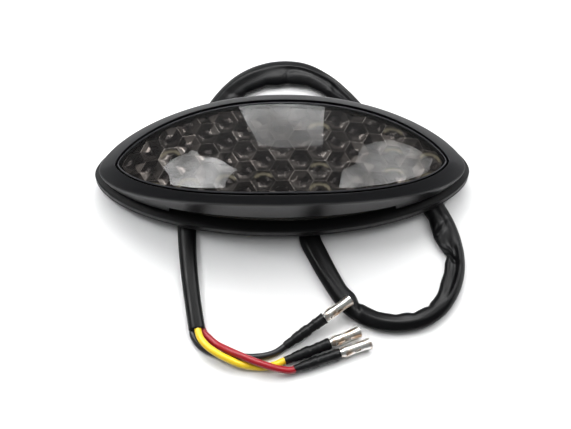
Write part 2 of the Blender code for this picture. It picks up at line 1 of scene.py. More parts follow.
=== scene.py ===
# %% [markdown]
# # A cat-eye tail light with a sleeved lead
#
# The lamp is an arched black frame round a smoked lens, with a honeycomb of small lenses under it.
# Its three wires run in a soft black sleeve and end in bright bullet terminals.
#
# The CAD model is loaded first and stays where it is. Pieces that need smoother or softer shapes are
# built here as surfaces worked out with numpy, and each one stands for the CAD piece it replaces.

# %% Load the CAD model
import math

import bmesh
import bpy
import numpy as np
from mathutils import Matrix, Vector


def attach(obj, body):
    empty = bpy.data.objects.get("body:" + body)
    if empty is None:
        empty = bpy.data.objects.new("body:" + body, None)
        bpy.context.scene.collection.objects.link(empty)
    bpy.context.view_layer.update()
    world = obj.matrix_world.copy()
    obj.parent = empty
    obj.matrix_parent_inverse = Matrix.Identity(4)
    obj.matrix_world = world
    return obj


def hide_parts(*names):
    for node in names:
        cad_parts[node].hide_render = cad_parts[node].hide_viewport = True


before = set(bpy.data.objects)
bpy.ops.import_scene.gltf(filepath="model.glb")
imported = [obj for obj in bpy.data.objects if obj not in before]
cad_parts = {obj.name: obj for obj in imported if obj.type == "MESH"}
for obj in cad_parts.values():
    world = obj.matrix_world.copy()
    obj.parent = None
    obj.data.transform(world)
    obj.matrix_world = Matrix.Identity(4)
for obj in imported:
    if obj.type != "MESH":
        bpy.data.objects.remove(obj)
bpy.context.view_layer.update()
MM = 0.001
rng = np.random.default_rng(7)

# %% [markdown]
# ## Two helpers for every finish
#
# Colours are written as the hex values that a paint chart or a screen shows. Those are sRGB, and the
# shader wants linear light, so one function turns one into the other. A second one adds any node.


# %% Colour and node helpers
def linear(hex_colour):
    """sRGB to linear: v / 12.92 below 0.04045, else ((v + 0.055) / 1.055) to the power 2.4."""
    values = [int(hex_colour[i : i + 2], 16) / 255 for i in (1, 3, 5)]
    return [v / 12.92 if v <= 0.04045 else ((v + 0.055) / 1.055) ** 2.4 for v in values] + [1.0]


def add_node(tree, kind, settings=None, inputs=None, links=None):
    """Adds a node, sets its properties and socket values, and links sockets to other outputs."""
    node = tree.nodes.new(kind)
    for key, value in (settings or {}).items():
        setattr(node, key, value)
    for key, value in (inputs or {}).items():
        node.inputs[key].default_value = value
    for key, output in (links or {}).items():
        tree.links.new(output, node.inputs[key])
    return node


def new_finish(name, colour, roughness, metallic=0.0, **sockets):
    """A Principled material with its plain values set, and its node tree to add patterns to."""
    made = bpy.data.materials.new(name)
    made.use_nodes = True
    shader = made.node_tree.nodes["Principled BSDF"]
    shader.inputs["Base Color"].default_value = linear(colour)
    shader.inputs["Roughness"].default_value = roughness
    shader.inputs["Metallic"].default_value = metallic
    for key, value in sockets.items():
        shader.inputs[key.replace("_", " ")].default_value = value
    return made, made.node_tree, shader


def grain(tree, shader, size_mm, depth_mm, rough_low, rough_high, detail=3.0):
    """Even grain from noise on Object coordinates: one noise bumps the surface and sets its roughness."""
    place = add_node(tree, "ShaderNodeTexCoord").outputs["Object"]
    speck = add_node(tree, "ShaderNodeTexNoise", {}, {"Scale": 1 / (size_mm * MM), "Detail": detail},
                     {"Vector": place})
    rough = add_node(tree, "ShaderNodeMapRange", {}, {"From Min": 0.3, "From Max": 0.7,
                     "To Min": rough_low, "To Max": rough_high}, {"Value": speck.outputs[0]})
    bump = add_node(tree, "ShaderNodeBump", {}, {"Distance": depth_mm * MM, "Strength": 1.0},
                    {"Height": speck.outputs[0]})
    tree.links.new(rough.outputs[0], shader.inputs["Roughness"])
    tree.links.new(bump.outputs[0], shader.inputs["Normal"])
    return place, speck


# %% [markdown]
# ## The moulded black frame
#
# The bezel and the base are injection-moulded ABS with a spark-eroded satin texture. That texture is
# about 0.1 mm, too fine to show here, so it is drawn at 0.35 mm. Handling leaves it a little uneven, so a
# second, wide noise shifts its colour by a shade. The base's copy is made darker than the bezel's,
# as painted shade for the groove and flange under the bezel.


# %% Satin black ABS
def satin_abs(name, colour, pale, rough_low, rough_high, shine=0.36):
    """Moulded ABS: fine grain in bump and roughness, and cloudy tone over 14 mm."""
    made, tree, shader = new_finish(name, colour, 0.4, IOR=1.52, Specular_IOR_Level=shine)
    place, speck = grain(tree, shader, 0.35, 0.004, rough_low, rough_high)
    cloud = add_node(tree, "ShaderNodeTexNoise", {}, {"Scale": 1 / (14 * MM), "Detail": 2.0},
                     {"Vector": place})
    tone = add_node(tree, "ShaderNodeMix", {"data_type": "RGBA"}, {"A": linear(colour), "B": linear(pale)},
                    {"Factor": cloud.outputs[0]})
    tree.links.new(tone.outputs["Result"], shader.inputs["Base Color"])
    return made


BEZEL_ABS = satin_abs("satin_abs_bezel", "#0c0c0e", "#131315", 0.28, 0.40)
# The base's copy is darker than the bezel's: painted shade for the groove and flange under the bezel.
BASE_ABS_SHADE_DARKENED = satin_abs("satin_abs_base_painted_shade", "#050506", "#09090a", 0.38, 0.52, shine=0.26)

# %% [markdown]
# ## Rubber, vinyl and shrink tube
#
# The sleeve is soft extruded vinyl with an even, slightly greasy sheen. Shrink tube is a little duller
# and lumpy. The gasket and the grommet are matt moulded rubber.

# %% Soft blacks
SLEEVE_VINYL, vinyl_tree, vinyl_shader = new_finish(
    "soft_vinyl_sleeve", "#050506", 0.35, IOR=1.5, Specular_IOR_Level=0.21)
grain(vinyl_tree, vinyl_shader, 7.0, 0.012, 0.29, 0.40, detail=2.0)
SHRINK_TUBE, shrink_tree, shrink_shader = new_finish("polyolefin_shrink_tube", "#070708", 0.4, IOR=1.5,
                                                        Specular_IOR_Level=0.34)
grain(shrink_tree, shrink_shader, 2.4, 0.03, 0.32, 0.46, detail=2.0)
RUBBER, rubber_tree, rubber_shader = new_finish("moulded_rubber", "#121213", 0.6, IOR=1.5)
grain(rubber_tree, rubber_shader, 0.5, 0.02, 0.55, 0.75)


def wire_pvc(name, colour):
    """Extruded PVC insulation: a clean gloss with a faint ripple every 4 mm."""
    made, tree, shader = new_finish(name, colour, 0.3, IOR=1.54)
    grain(tree, shader, 4.0, 0.004, 0.28, 0.38, detail=1.0)
    return made


WIRE_PVC = {
    "black": wire_pvc("pvc_black", "#0f0f11"),
    "yellow": wire_pvc("pvc_yellow", "#dcba1c"),
    "red": wire_pvc("pvc_red", "#8c0b1a"),
}

# %% [markdown]
# ## Metals
#
# The terminals are pressed from brass strip and tinned, which gives a bright, slightly milky mirror.
# Brownish patches are painted into it at random as a painted reflection. Screws are zinc plated, and
# the inserts are turned brass.


# %% Tinned brass, zinc and turned brass
def worn_metal(name, colour, rough_low, rough_high, size_mm, brown_reflection=None):
    """A metal whose roughness wanders with handling marks, and which may get brownish patches of painted
    reflection.
    """
    made, tree, shader = new_finish(name, colour, rough_low, 1.0)
    place, speck = grain(tree, shader, size_mm, 0.0006 * size_mm, rough_low, rough_high, detail=2.0)
    # Brownish patches where the noise is high: a painted reflection.
    if brown_reflection:
        tone = add_node(tree, "ShaderNodeMapRange", {}, {"From Min": 0.48, "From Max": 0.66},
                        {"Value": speck.outputs[0]})
        mixed = add_node(tree, "ShaderNodeMix", {"data_type": "RGBA"},
                         {"A": linear(colour), "B": linear(brown_reflection)}, {"Factor": tone.outputs[0]})
        tree.links.new(mixed.outputs["Result"], shader.inputs["Base Color"])
    return made


TINNED = worn_metal("tinned_brass", "#f0eeea", 0.28, 0.36, 4.0, brown_reflection="#c2aa92")
ZINC = worn_metal("zinc_plated_steel", "#b9b9b6", 0.22, 0.4, 0.6)
BRASS = worn_metal("turned_brass", "#c9a24d", 0.2, 0.4, 0.4)
MIRROR = worn_metal("metallised_reflector", "#cfc9c0", 0.06, 0.2, 3.0)

# %% [markdown]
# ## Clear and smoked plastic
#
# The lens is polycarbonate with a smoke dye. It is thin and lies close over the optic, so light
# goes straight through it: alpha gives its tint, and the specular reflection gives its gloss.

# %% Lens plastics
SMOKED_PC, smoked_tree, smoked_shader = new_finish(
    "smoked_polycarbonate", "#080706", 0.03, Alpha=0.35, IOR=1.58, Specular_IOR_Level=0.38)
# The lens's edge bevel gets an opaque, lighter grey copy of the lens plastic: a painted highlight along the
# edge.
LENS_EDGE_HIGHLIGHT = new_finish("lens_edge_painted_highlight", "#3a3a3d", 0.25, IOR=1.58)[0]
CLEAR_PC, clear_tree, clear_shader = new_finish(
    "clear_polycarbonate", "#55534f", 0.08, Alpha=0.45, IOR=1.58)
GREEN_BOARD, board_tree, board_shader = new_finish("lacquered_board", "#11401f", 0.35, IOR=1.5)
grain(board_tree, board_shader, 3.0, 0.02, 0.3, 0.5)
LED_RED = new_finish("red_led_epoxy", "#a51410", 0.12, IOR=1.54)[0]
LED_WHITE = new_finish("white_led_package", "#e6e0c2", 0.3, IOR=1.5)[0]
RESISTOR = new_finish("resistor_coating", "#a98355", 0.4, IOR=1.5)[0]

# %% [markdown]
# ## The cat-eye outline
#
# Every ring of the lamp has the same family of plan: wide and full in the middle and pointed at
# both tips. One formula gives it, so the flange, bezel and lens all follow each other.


# %% Outline and arch
def half_width(x, plan):
    """b (1 - |x/a|^power)^roundness, for plan = (a, b, roundness, power) in millimetres."""
    a, b, roundness, power = plan
    return b * np.clip(1 - np.abs(x / a) ** power, 0, 1) ** roundness


def plan_ring(plan, height, count=320):
    """Points round a plan, x = a cos(u) and y = half width with the sign of sin(u), at height(x)."""
    u = np.linspace(0, 2 * np.pi, count, endpoint=False)
    x = plan[0] * np.cos(u)
    y = np.where(np.sin(u) >= 0, 1, -1) * half_width(x, plan)
    return np.stack([x, y, height(x) + 0 * x], axis=1)


def level(height):
    """A flat height."""
    return lambda x: height + 0 * x


def arch(below, crest=30.4, drop=0.0041):
    """Height of an arched edge this far below the opening's edge: crest - below - drop x squared."""
    return lambda x: crest - below - drop * x * x


EYE, ALMOND = (0.565, 2.0), (0.66, 2.3)
FLANGE, SEAT = (71.0, 24.5, *EYE), (68.9, 20.1, *EYE)
EDGE, FOOT, INSIDE = (69.3, 22.2, *EYE), (69.0, 21.9, *EYE), (67.1, 20.0, *EYE)
TUB_OUT, TUB_IN = (62.6, 19.2, *EYE), (60.8, 17.4, *EYE)
OPENING = (62.6, 18.9, *ALMOND)
print("flange width at 40 mm from the middle:", round(float(2 * half_width(40.0, FLANGE)), 1), "mm")

# %% [markdown]
# ## Skins from rings
#
# A ring-shaped moulding is a cross-section carried round the outline. The section's corners are
# eased first, because a moulded edge always has a small radius, and that radius catches the light.


# %% Easing corners and joining rings
def eased(corners, radii, closed, steps=4):
    """Each corner ring becomes steps + 1 rings on a quadratic curve that leaves and rejoins its sides."""
    rings = []
    count = len(corners)
    for k, (here, radius) in enumerate(zip(corners, radii)):
        if radius == 0 or (not closed and k in (0, count - 1)):
            rings.append(here)
            continue
        before, after = corners[k - 1], corners[(k + 1) % count]
        back, on = before - here, after - here
        back_size = np.linalg.norm(back, axis=1, keepdims=True) + 1e-9
        on_size = np.linalg.norm(on, axis=1, keepdims=True) + 1e-9
        start = here + back * np.minimum(radius / back_size, 0.45)
        end = here + on * np.minimum(radius / on_size, 0.45)
        for t in np.linspace(0, 1, steps + 1):
            rings.append((1 - t) ** 2 * start + 2 * t * (1 - t) * here + t**2 * end)
    return np.stack(rings)


def new_mesh(name, points_mm, faces, finish, sharp_over=40):
    """A mesh object from points in millimetres, smooth except where faces meet above an angle."""
    mesh = bpy.data.meshes.new(name)
    mesh.from_pydata((np.asarray(points_mm) * MM).tolist(), [], faces)
    mesh.validate()
    mesh.shade_smooth()
    mesh.set_sharp_from_angle(angle=math.radians(sharp_over))
    mesh.materials.append(finish)
    made = bpy.data.objects.new(name, mesh)
    bpy.context.scene.collection.objects.link(made)
    return made


def grid_faces(rows, columns, wrap_rows, wrap_columns):
    """Quads of a grid of points, joined round in either direction where asked."""
    i, j = np.meshgrid(np.arange(rows if wrap_rows else rows - 1),
                       np.arange(columns if wrap_columns else columns - 1), indexing="ij")
    i, j = i.ravel(), j.ravel()
    down, right = (i + 1) % rows, (j + 1) % columns
    return np.stack([i * columns + j, i * columns + right, down * columns + right,
                     down * columns + j], axis=1)


def ring_skin(name, rings, finish, closed=False, caps=(True, True)):
    """Rings joined in order. The first and last are filled, or joined where the section is closed."""
    rows, columns = rings.shape[:2]
    faces = grid_faces(rows, columns, closed, True).tolist()
    if not closed and caps[0]:
        faces.append(list(range(columns))[::-1])
    if not closed and caps[1]:
        faces.append([(rows - 1) * columns + k for k in range(columns)])
    return new_mesh(name, rings.reshape(-1, 3), faces, finish)


# %% [markdown]
# ## Cutting windows and holes
#
# The number-plate slot and the cable pocket are cut with Booleans. Each is applied at once and its
# tool thrown away, so that only the finished piece is left.


# %% Boolean helper
def prism(outline_mm, start, end, along):
    """A tool: an outline in the two other axes, pushed along one axis from start to end."""
    outline_mm = np.asarray(outline_mm, float)
    count = len(outline_mm)
    points = np.zeros((2, count, 3))
    others = [a for a in range(3) if a != along]
    points[:, :, others[0]] = outline_mm[:, 0]
    points[:, :, others[1]] = outline_mm[:, 1]
    points[0, :, along], points[1, :, along] = start, end
    faces = grid_faces(2, count, False, True).tolist()
    faces += [list(range(count))[::-1], list(range(count, 2 * count))]
    tool = new_mesh("tool", points.reshape(-1, 3), faces, BASE_ABS_SHADE_DARKENED)
    made_out = tool.data
    work = bmesh.new()
    work.from_mesh(made_out)
    bmesh.ops.recalc_face_normals(work, faces=work.faces[:])
    work.to_mesh(made_out)
    work.free()
    return tool


def circle(centre, radius, count=28):
    """An outline: centre + radius (cos t, sin t)."""
    t = np.linspace(0, 2 * np.pi, count, endpoint=False)
    return np.stack([centre[0] + radius * np.cos(t), centre[1] + radius * np.sin(t)], axis=1)


def carve(target, tools, operation="DIFFERENCE"):
    """Applies a Boolean for each tool and removes it."""
    for tool in tools:
        step = target.modifiers.new("carve", "BOOLEAN")
        step.operation, step.solver, step.object = operation, "EXACT", tool
        bpy.context.view_layer.update()
        solid = bpy.data.meshes.new_from_object(
            target.evaluated_get(bpy.context.evaluated_depsgraph_get()))
        target.modifiers.clear()
        target.data = solid
        bpy.data.objects.remove(tool, do_unlink=True)
    target.data.shade_smooth()
    target.data.set_sharp_from_angle(angle=math.radians(32))
    print(target.name, "has", len(target.data.polygons), "faces")


# %% [markdown]
# ## Bezel
#
# The face slopes outwards from the lens to a crisp outer edge, and a skirt drops from there. A long
# slot in the front of the skirt lets the white lamps shine down on the number plate. The slot's top
# edge follows a shallow arch. A small boss under each tip takes a screw from the back.

# %% Bezel
bezel_corners = [
    plan_ring(FOOT, level(8.0)),
    plan_ring(EDGE, arch(2.5)),
    plan_ring(OPENING, arch(0)),
    plan_ring(OPENING, arch(3.2)),
    plan_ring(INSIDE, lambda x: np.maximum(arch(4.4)(x), 8.4)),
    plan_ring(INSIDE, level(8.0)),
]
bezel_skin = eased(bezel_corners, [0.35, 1.10, 0.45, 0, 0, 0.2], closed=True)
bezel = ring_skin("bezel_frame", bezel_skin, BEZEL_ABS, closed=True)
slot_x = np.linspace(42.5, -42.5, 33)
slot_top = np.stack([slot_x, 14.6 - 2.5 * (slot_x / 42.5) ** 2], axis=1)
slot_front = np.concatenate([[[-42.5, 4.0], [42.5, 4.0]], slot_top])
carve(bezel, [prism(circle((x, 0), 2.3, 24), 5.3, 9.8, 2) for x in (-65.3, 65.3)], "UNION")
carve(bezel, [prism(circle((x, 0), 1.3, 24), 4.0, 8.8, 2) for x in (-65.3, 65.3)])
carve(bezel, [prism(slot_front, -30, -8, 1)])
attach(bezel, "root")
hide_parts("bezel")

# %% [markdown]
# ## Base
#
# The base is a tub on a flange. Its wall stands a little behind the skirt, which leaves the dark
# groove between them. The back has a pocket in which the lead turns towards the front rim.

# %% Base and gasket
base_corners = [
    plan_ring(SEAT, level(0.0)),
    plan_ring(SEAT, level(1.5)),
    plan_ring(FLANGE, level(1.5)),
    plan_ring(FLANGE, level(5.0)),
    plan_ring(TUB_OUT, level(5.0)),
    plan_ring(TUB_OUT, arch(7.1)),
    plan_ring(TUB_IN, arch(7.1)),
    plan_ring(TUB_IN, level(1.5)),
]
base_skin = eased(base_corners, [0, 0, 0.4, 0.9, 0.3, 0, 0, 0], closed=False)
base = ring_skin("base_tub", base_skin, BASE_ABS_SHADE_DARKENED)
strip_x = np.linspace(-40.3, 40.3, 41)
strip_out = np.stack([strip_x, -half_width(strip_x, TUB_OUT) - 4], axis=1)
strip_in = np.stack([strip_x, -half_width(strip_x, TUB_OUT) + 2.0], axis=1)[::-1]
pocket_roof = [[4.1, -16.9], [21.9, -16.9], [21.9, 8.4], [4.1, 8.4]]
carve(base, [prism(pocket_roof, 1.0, 10.4, 2)], "UNION")
screw_holes = [(1.7, 7.0), (2.7, 2.4)]
carve(base, [
    prism(np.concatenate([strip_out, strip_in]), 5.9, 11.8, 2),
    prism([[5.5, -15.5], [20.5, -15.5], [20.5, 7.0], [5.5, 7.0]], -1, 9.0, 2),
    prism([[5.5, -20.6], [20.5, -20.6], [20.5, -15.0], [5.5, -15.0]], -1, 3.4, 2),
    prism(circle((13.0, 5.4), 3.2), 6.0, 9.6, 1),
    prism(circle((-30, 0), 3.8), -1, 8.3, 2),
    prism(circle((30, 0), 3.8), -1, 8.3, 2),
] + [prism(circle((x, 0), radius), -1, top, 2) for x in (-65.3, 65.3) for radius, top in screw_holes])
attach(base, "root")
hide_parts("base_housing")

gasket_corners = [plan_ring((69.2, 20.4, *EYE), level(0)), plan_ring(FLANGE, level(0)),
                  plan_ring(FLANGE, level(1.2)), plan_ring((69.2, 20.4, *EYE), level(1.2))]
gasket = ring_skin("rim_gasket", eased(gasket_corners, [0, 0.3, 0.3, 0], closed=True), RUBBER, closed=True)
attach(gasket, "root")
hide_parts("base_gasket")

# %% [markdown]
# ## Lens
#
# The lens is a shallow dome over the same almond outline, with a fine bevel all round its edge and a
# flange that the bezel holds down.


# %% Smoked lens
def domed(plan, share, below, rise):
    """A ring of the dome: the plan shrunk to a share, raised by rise (1 - share squared)."""
    ring = plan_ring(plan, level(0)) * share
    ring[:, 2] = arch(below)(ring[:, 0]) + rise * (1 - share * share)
    return ring


LENS_EDGE, LENS_TOP = (61.8, 18.1, *ALMOND), (61.25, 17.6, *ALMOND)
LENS_CORE, LENS_LIP = (60.9, 17.2, *ALMOND), (62.9, 19.2, *ALMOND)
shares = np.linspace(0.02, 1.0, 34)
under_dome = [domed(LENS_CORE, s, 2.1, 1.5) for s in shares[:-1]]
lens_rings = under_dome + [
    plan_ring(LENS_CORE, arch(2.6)),
    plan_ring(LENS_CORE, arch(5.3)),
    plan_ring(LENS_LIP, arch(5.3)),
    plan_ring(LENS_LIP, arch(3.8)),
    plan_ring(LENS_EDGE, arch(3.8)),
    plan_ring(LENS_EDGE, arch(0.62)),
    plan_ring((61.6, 17.93, *ALMOND), arch(0.30)),
] + [domed(LENS_TOP, s, 0.1, 1.5) for s in shares[::-1]]
lens = ring_skin("smoked_lens", np.stack(lens_rings), SMOKED_PC)
# The bevel's faces take the lighter grey finish: a painted highlight round the lens's edge.
lens.data.materials.append(LENS_EDGE_HIGHLIGHT)
bevel_row = len(under_dome) + 5
for face in lens.data.polygons:
    on_bevel = face.vertices[0] // 320 in (bevel_row, bevel_row + 1)
    face.material_index = 1 if on_bevel and len(face.vertices) == 4 else 0
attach(lens, "root")
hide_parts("lens")

# %% [markdown]
# ## Honeycomb optic
#
# Under the lens lies a plate of hexagonal cells, flat to flat 8 mm. Each is a shallow dish between
# thin clear ribs, over a round hole of the reflector. The dishes are geometry. Their tone is a point
# attribute: a random shade for each cell, painted shade that leaves a dark eye in each dish, and
# painted highlights on a crescent under the eye, on some facets and along the ribs, so the corners
# look pale. A second attribute paints gold glints in a few cells.

# %% Honeycomb cells
CELL_SIDE, RIB = 4.62, 0.2
OPTIC = (60.7, 17.0, *ALMOND)
column_step, row_step = 1.5 * CELL_SIDE, math.sqrt(3) * CELL_SIDE
columns = np.arange(-9, 10)
centres = np.array([(c * column_step, (r + 0.5 * (c % 2)) * row_step - 0.2)
                    for c in columns for r in range(-3, 3)])
around = np.linspace(0, 2 * np.pi, 36, endpoint=False)
to_edge = (math.sqrt(3) / 2) / np.cos((around % (np.pi / 3)) - np.pi / 6)
spread = np.array([1.0, 0.970, 0.945, 0.84, 0.70, 0.54, 0.38, 0.20])
sink = np.array([0.0, 0.0, 0.10, 0.42, 0.70, 0.92, 1.05, 1.12])


def hexagon_cells(centres):
    """Dished hexagons: rings at shares of the way to the hexagon's edge, sunk below the rib tops.

    A point past the plate's outline is pulled in to it. Returns points, faces, per-point tones with painted
    shade and highlights, and painted glints.
    """
    points, faces, tones, glints = [], [], [], []
    faces_one = grid_faces(len(spread), len(around), False, True)
    for cx, cy in centres:
        u = (spread[:, None] * to_edge * np.cos(around)).ravel()
        v = (spread[:, None] * to_edge * np.sin(around)).ravel()
        x, y = cx + CELL_SIDE * u, cy + CELL_SIDE * v
        if abs(cx) > OPTIC[0] - 1 or abs(cy) > half_width(cx, OPTIC) + 3.0:
            continue
        limit = half_width(x, OPTIC)
        y = np.clip(y, -limit, limit)
        x = np.clip(x, -OPTIC[0], OPTIC[0])
        z = arch(2.7)(x) - np.repeat(sink, len(around))
        depth, lean = rng.uniform(0.5, 1.25), rng.uniform(-0.25, 0.25)
        eye = np.sqrt((u / 0.66) ** 2 + ((v - 0.06) / 0.50) ** 2)
        # Painted light: the eye is left dark as painted shade, and the crescent under it, the bright facets
        # and the ribs are painted highlights. Depth sets a random shade for each cell.
        dark = np.clip((eye - 0.75) / 0.45, 0, 1)
        crescent_highlight = np.exp(-(((eye - 1.02) / 0.16) ** 2)) * np.clip(-v * 2.4 + lean, 0, 1)
        rib = np.repeat(spread > 0.96, len(around)) * 1.0
        facet_highlight = rng.choice([0.0, 0.03, 0.22, 0.72], 6, p=[0.38, 0.27, 0.20, 0.15])[
            (np.tile(around, len(spread)) // (np.pi / 3)).astype(int)]
        wing = np.clip((abs(cx) - 12) / 18, 0.34, 1)
        tone = 0.005 * depth + 0.09 * depth * dark + wing * facet_highlight * np.clip(eye * 1.6 - 0.3, 0, 1)
        tone = np.clip(tone + 0.42 * crescent_highlight * (1.2 - wing) + rib * (0.09 + facet_highlight), 0, 1)
        # A few cells get a painted glint: a pale gold arc above the eye.
        spot = rng.uniform(0, 1) < 0.22
        arc = np.exp(-(((eye - 1.15) / 0.13) ** 2)) * np.clip(v * 3.0 - 0.5 + lean * 2, 0, 1)
        start = len(points) * len(u)
        points.append(np.stack([x, y, z], axis=1))
        faces.append(faces_one + start)
        faces.append(None)
        tones.append(tone)
        glints.append(np.clip(arc * spot * 3.0, 0, 1))
    return points, faces, tones, glints


cell_points, cell_faces, cell_tones_and_light, cell_glints = hexagon_cells(centres)
all_faces = []
per_cell = len(around) * len(spread)
for n in range(len(cell_points)):
    all_faces += cell_faces[2 * n].tolist()
    last = n * per_cell + (len(spread) - 1) * len(around)
    all_faces.append([last + k for k in range(len(around))])
optic_top = np.concatenate(cell_points)

HONEYCOMB, honey_tree, honey_shader = new_finish("honeycomb_acrylic", "#3c3834", 0.14, 0.55, IOR=1.49)
tone_and_light_in = add_node(honey_tree, "ShaderNodeAttribute", {"attribute_name": "tone"})
glint_in = add_node(honey_tree, "ShaderNodeAttribute", {"attribute_name": "glint"})
smoke = add_node(honey_tree, "ShaderNodeTexNoise", {}, {"Scale": 1 / (9 * MM), "Detail": 2.0},
                 {"Vector": add_node(honey_tree, "ShaderNodeTexCoord").outputs["Object"]})
warm = add_node(honey_tree, "ShaderNodeMix", {"data_type": "RGBA"},
                {"A": linear("#cecbc5"), "B": linear("#bcaaa0")}, {"Factor": smoke.outputs[0]})
# Tone mixes dark brown into the warm colour: a random shade per cell with painted shade and painted
# highlights.
body = add_node(honey_tree, "ShaderNodeMix", {"data_type": "RGBA"}, {"A": linear("#150c0a")},
                {"Factor": tone_and_light_in.outputs["Fac"], "B": warm.outputs["Result"]})
# Glint mixes in pale gold: painted glints.
glint_paint = add_node(honey_tree, "ShaderNodeMix", {"data_type": "RGBA"}, {"B": linear("#fff2cf")},
                {"Factor": glint_in.outputs["Fac"], "A": body.outputs["Result"]})
honey_tree.links.new(glint_paint.outputs["Result"], honey_shader.inputs["Base Color"])

optic = new_mesh("honeycomb_plate", optic_top, all_faces, HONEYCOMB, 60)
tone_and_light_layer = optic.data.attributes.new("tone", "FLOAT", "POINT")
tone_and_light_layer.data.foreach_set("value", np.concatenate(cell_tones_and_light).astype(np.float32))
glint_layer = optic.data.attributes.new("glint", "FLOAT", "POINT")
glint_layer.data.foreach_set("value", np.concatenate(cell_glints).astype(np.float32))
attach(optic, "root")
backing_shares = np.linspace(0.02, 1.0, 12)
backing_rings = [domed(OPTIC, s, 7.4, 0) for s in backing_shares] + [
    domed(OPTIC, s, 4.0, 0) for s in backing_shares[::-1]]
backing = ring_skin("optic_backing", np.stack(backing_rings), CLEAR_PC)
backing.data.materials[0] = new_finish("optic_backing_acrylic", "#0c0a09", 0.2, IOR=1.49)[0]
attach(backing, "root")
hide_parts("honeycomb_optic")
print("honeycomb has", len(cell_points), "cells")

# %% [markdown]
# ## The pieces kept from the CAD model
#
# Screws, inserts, board, lamps and window already have the right shape, so they only get finishes.

# %% Finishes for the CAD pieces
FINISH_OF = {
    "lens_seal": RUBBER, "cable_grommet": RUBBER, "reflector": MIRROR, "led_board": GREEN_BOARD,
    "led_red": LED_RED, "led_white": LED_WHITE, "resistor": RESISTOR, "diode": WIRE_PVC["black"],
    "board_screw": ZINC, "bezel_screw": ZINC, "mounting_insert": BRASS,
    "plate_light_window": CLEAR_PC, "inner_lead_black": WIRE_PVC["black"],
    "inner_lead_yellow": WIRE_PVC["yellow"], "inner_lead_red": WIRE_PVC["red"],
}
for name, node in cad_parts.items():
    for start, finish in FINISH_OF.items():
        if name.startswith(start):
            node.data.materials.clear()
            node.data.materials.append(finish)

# %% [markdown]
# ## Routes of the lead
#
# A cord is a fixed length of something soft, so it starts from a smooth line. The route's own points
# are joined with Catmull-Rom curves and then read off at even steps.


# %% Smooth routes
def smooth_route(points, spacing):
    """Catmull-Rom through the points, read at about this spacing, in millimetres."""
    p = np.asarray(points, float)
    p = np.concatenate([[2 * p[0] - p[1]], p, [2 * p[-1] - p[-2]]])
    found = []
    for a, b, c, d in zip(p, p[1:], p[2:], p[3:]):
        t = np.linspace(0, 1, 40, endpoint=False)[:, None]
        found.append((2 * b + (c - a) * t + (2 * a - 5 * b + 4 * c - d) * t**2
                      + (3 * b - a - 3 * c + d) * t**3) / 2)
    line = np.concatenate(found + [p[-2:-1]])
    run = np.concatenate([[0], np.cumsum(np.linalg.norm(np.diff(line, axis=0), axis=1))])
    even = np.linspace(0, run[-1], max(8, int(round(run[-1] / spacing))))
    return np.stack([np.interp(even, run, line[:, k]) for k in range(3)], axis=1), even


LIE = -2.9
SLEEVE_ROUTE = [
    (13.0, -2.0, 5.4), (12.8, -6.0, 4.7), (11.9, -10.5, 2.0), (10.9, -16.0, -1.4), (10.2, -21.0, LIE),
    (10.4, -25.0, LIE), (12.8, -30.5, LIE), (17.6, -40.0, LIE), (23.8, -49.8, LIE), (31.5, -55.5, LIE),
    (40.5, -57.9, LIE), (51.0, -56.7, LIE), (58.5, -51.6, LIE), (63.2, -43.3, LIE), (64.6, -33.5, LIE),
    (62.0, -22.0, LIE), (56.2, -10.2, LIE), (48.8, 1.6, LIE), (40.6, 13.2, LIE), (31.8, 24.1, LIE),
    (23.9, 33.2, LIE), (16.0, 40.2, LIE), (7.0, 44.5, LIE), (-4.0, 44.4, LIE), (-14.5, 39.9, LIE),
    (-23.5, 31.0, LIE), (-30.0, 19.5, LIE), (-34.3, 6.0, LIE), (-36.1, -8.0, LIE), (-36.3, -21.0, LIE),
    (-35.7, -33.0, LIE), (-34.3, -46.0, LIE), (-32.3, -59.6, LIE),
]
WIRE_ROUTES = {
    "black": [(-33.4, -56.0, -3.7), (-33.9, -60.3, -4.0), (-33.1, -63.0, -4.0), (-30.6, -66.2, -4.0),
              (-26.5, -68.5, -4.0), (-21.5, -69.6, -4.0), (-16.0, -70.1, -4.0), (-11.5, -70.3, -4.0),
              (-7.0, -69.9, -4.0), (-3.0, -68.6, -4.0), (0.0, -66.7, -3.6)],
    "yellow": [(-32.3, -56.0, -2.5), (-31.9, -60.3, -2.0), (-31.0, -63.3, -1.6), (-28.6, -66.6, -1.1),
              (-25.0, -69.4, -0.9), (-20.8, -71.7, -1.2), (-16.5, -73.3, -2.4), (-12.0, -74.0, -3.6),
              (-7.4, -74.2, -4.0), (-3.4, -73.4, -3.9), (0.0, -72.1, -3.2)],
    "red": [(-31.2, -56.0, -3.7), (-29.9, -60.3, -4.0), (-28.0, -62.6, -4.0), (-25.0, -65.3, -3.6),
              (-21.0, -67.9, -2.0), (-17.0, -70.1, -1.0), (-13.0, -72.0, -0.7), (-8.5, -73.8, -0.6),
              (-4.5, -75.1, -0.9), (-1.0, -75.8, -1.7), (2.5, -75.9, -2.6)],
}
TERMINALS = {
    "black": ((0.9, -66.1, -3.0), (24.3, -50.7, 2.4)),
    "yellow": ((0.9, -71.9, -3.0), (27.3, -61.5, -3.0)),
    "red": ((4.4, -75.2, -2.9), (31.7, -65.8, -2.9)),
}
sleeve_line, sleeve_run = smooth_route(SLEEVE_ROUTE, 0.65)
print("sleeve is", round(float(sleeve_run[-1]), 1), "mm long")

# %% [markdown]
# ## Sleeve
#
# Soft vinyl tube with only three thin wires in it goes flat where it lies. It pinches here and there on
# the inside of each bend, where there is too much of it, and folds over where the bend is sharpest.
# Long soft ridges show the wires under it. The far end is open, and the tube's own wall shows there.
#
# All of these are bells of the form exp(-((run - centre) / width) squared) on a flattened round.


